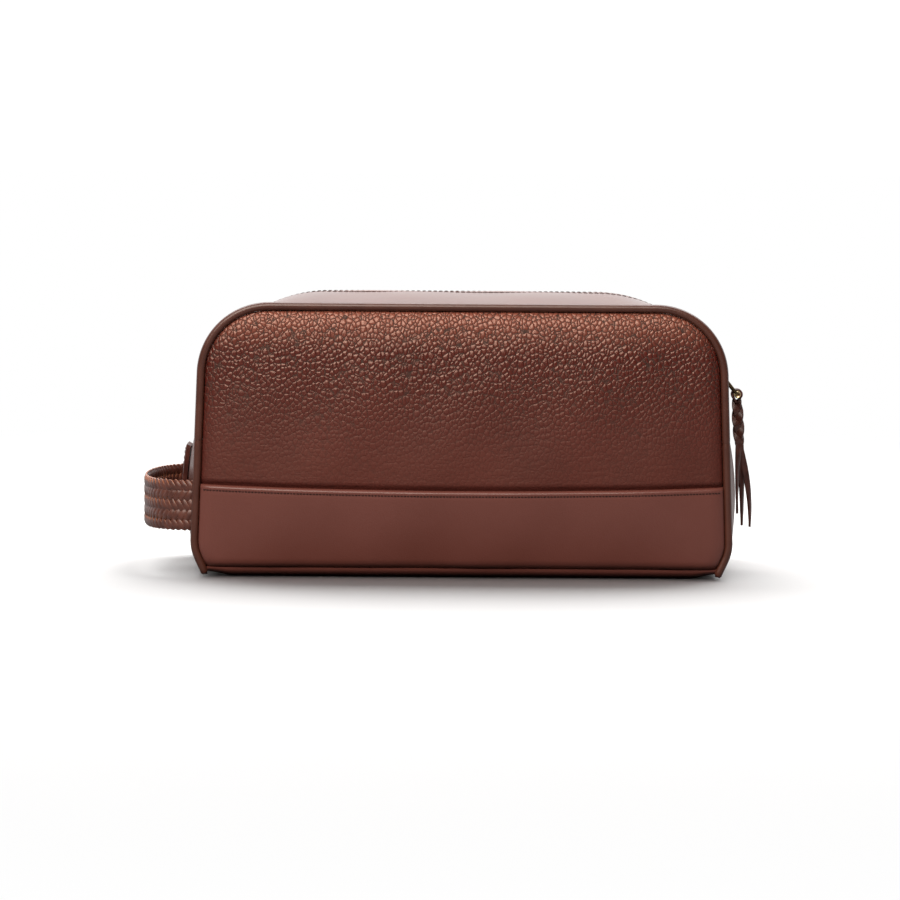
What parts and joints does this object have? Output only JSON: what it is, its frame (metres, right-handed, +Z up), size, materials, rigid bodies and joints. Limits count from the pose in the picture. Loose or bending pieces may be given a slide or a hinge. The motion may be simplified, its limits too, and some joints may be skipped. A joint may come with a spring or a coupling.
{
  "type": "shaving kit bag",
  "caption": "Zipped leather wash bag with a grained body, smooth lower band, piped edges, a braided end handle and a leather zip pull.",
  "frame": {"origin": "on the floor, under the middle of the base", "axes": "+X towards the end where the zip closes, -X towards the end with the handle, -Y towards the front panel, +Z up"},
  "size_m": [0.3102, 0.1186, 0.1407],
  "materials": {
    "grained_leather": "pebbled grain, satin",
    "smooth_leather": "smooth, satin",
    "braided_leather": "flat plait, satin",
    "dark_leather": "satin",
    "lining_cloth": "woven, matt",
    "zip_tape": "woven tape, matt",
    "antique_brass": "aged, satin",
    "base_board": "matt"
  },
  "bodies": {
    "bag": {"front_panel": "grained_leather", "back_panel_lower": "grained_leather", "front_band": "smooth_leather", "back_band": "smooth_leather", "front_piping": "smooth_leather", "back_piping_left": "smooth_leather", "back_piping_right": "smooth_leather", "left_gusset": "smooth_leather", "right_gusset": "smooth_leather", "zip_gusset_front": "smooth_leather", "base_panel": "smooth_leather", "handle_end_front": "braided_leather", "handle_end_back": "braided_leather", "zip_end_tab": "dark_leather", "lining_front": "lining_cloth", "lining_back_lower": "lining_cloth", "lining_left": "lining_cloth", "lining_right": "lining_cloth", "lining_zip_front": "lining_cloth", "lining_base": "lining_cloth", "zip_tape_front": "zip_tape", "zip_teeth_front": "antique_brass", "zip_bottom_stop": "antique_brass", "zip_top_stop": "antique_brass", "base_board": "base_board"},
    "back_flap": {"back_panel_upper": "grained_leather", "back_piping_upper": "smooth_leather", "zip_gusset_back": "smooth_leather", "zip_tape_back": "zip_tape", "zip_teeth_back": "antique_brass", "lining_back_upper": "lining_cloth", "lining_zip_back": "lining_cloth"},
    "slider": {"slider": "antique_brass"},
    "pull": {"pull_link": "antique_brass"},
    "puller": {"puller_loop": "dark_leather", "puller_braid": "dark_leather", "puller_tail_inner": "dark_leather", "puller_tail_middle": "dark_leather", "puller_tail_outer": "dark_leather"},
    "handle": {"handle_strap": "braided_leather"}
  },
  "joints": [
    {"name": "mouth_open", "type": "hinge", "parent": "bag", "child": "back_flap", "pos_m": [0, 0.059, 0.07], "axis": [-1, 0, 0], "range_deg": [0, 40], "stiffness_Nm_per_rad": 0.15},
    {"name": "slider_travel", "type": "hinge", "parent": "bag", "child": "slider", "pos_m": [0.0684, 0, 0.074], "axis": [0, -1, 0], "range_deg": [0, 65]},
    {"name": "pull_swing", "type": "hinge", "parent": "slider", "child": "pull", "pos_m": [0.12946, 0, 0.10246], "axis": [0, -1, 0], "range_deg": [0, 115]},
    {"name": "puller_swing", "type": "hinge", "parent": "pull", "child": "puller", "pos_m": [0.14, 0, 0.0892], "axis": [0, -1, 0], "range_deg": [0, 60]},
    {"name": "handle_swing", "type": "hinge", "parent": "bag", "child": "handle", "pos_m": [-0.13496, 0, 0.0352], "axis": [0, 1, 0], "range_deg": [-12, 12], "stiffness_Nm_per_rad": 0.12}
  ]
}
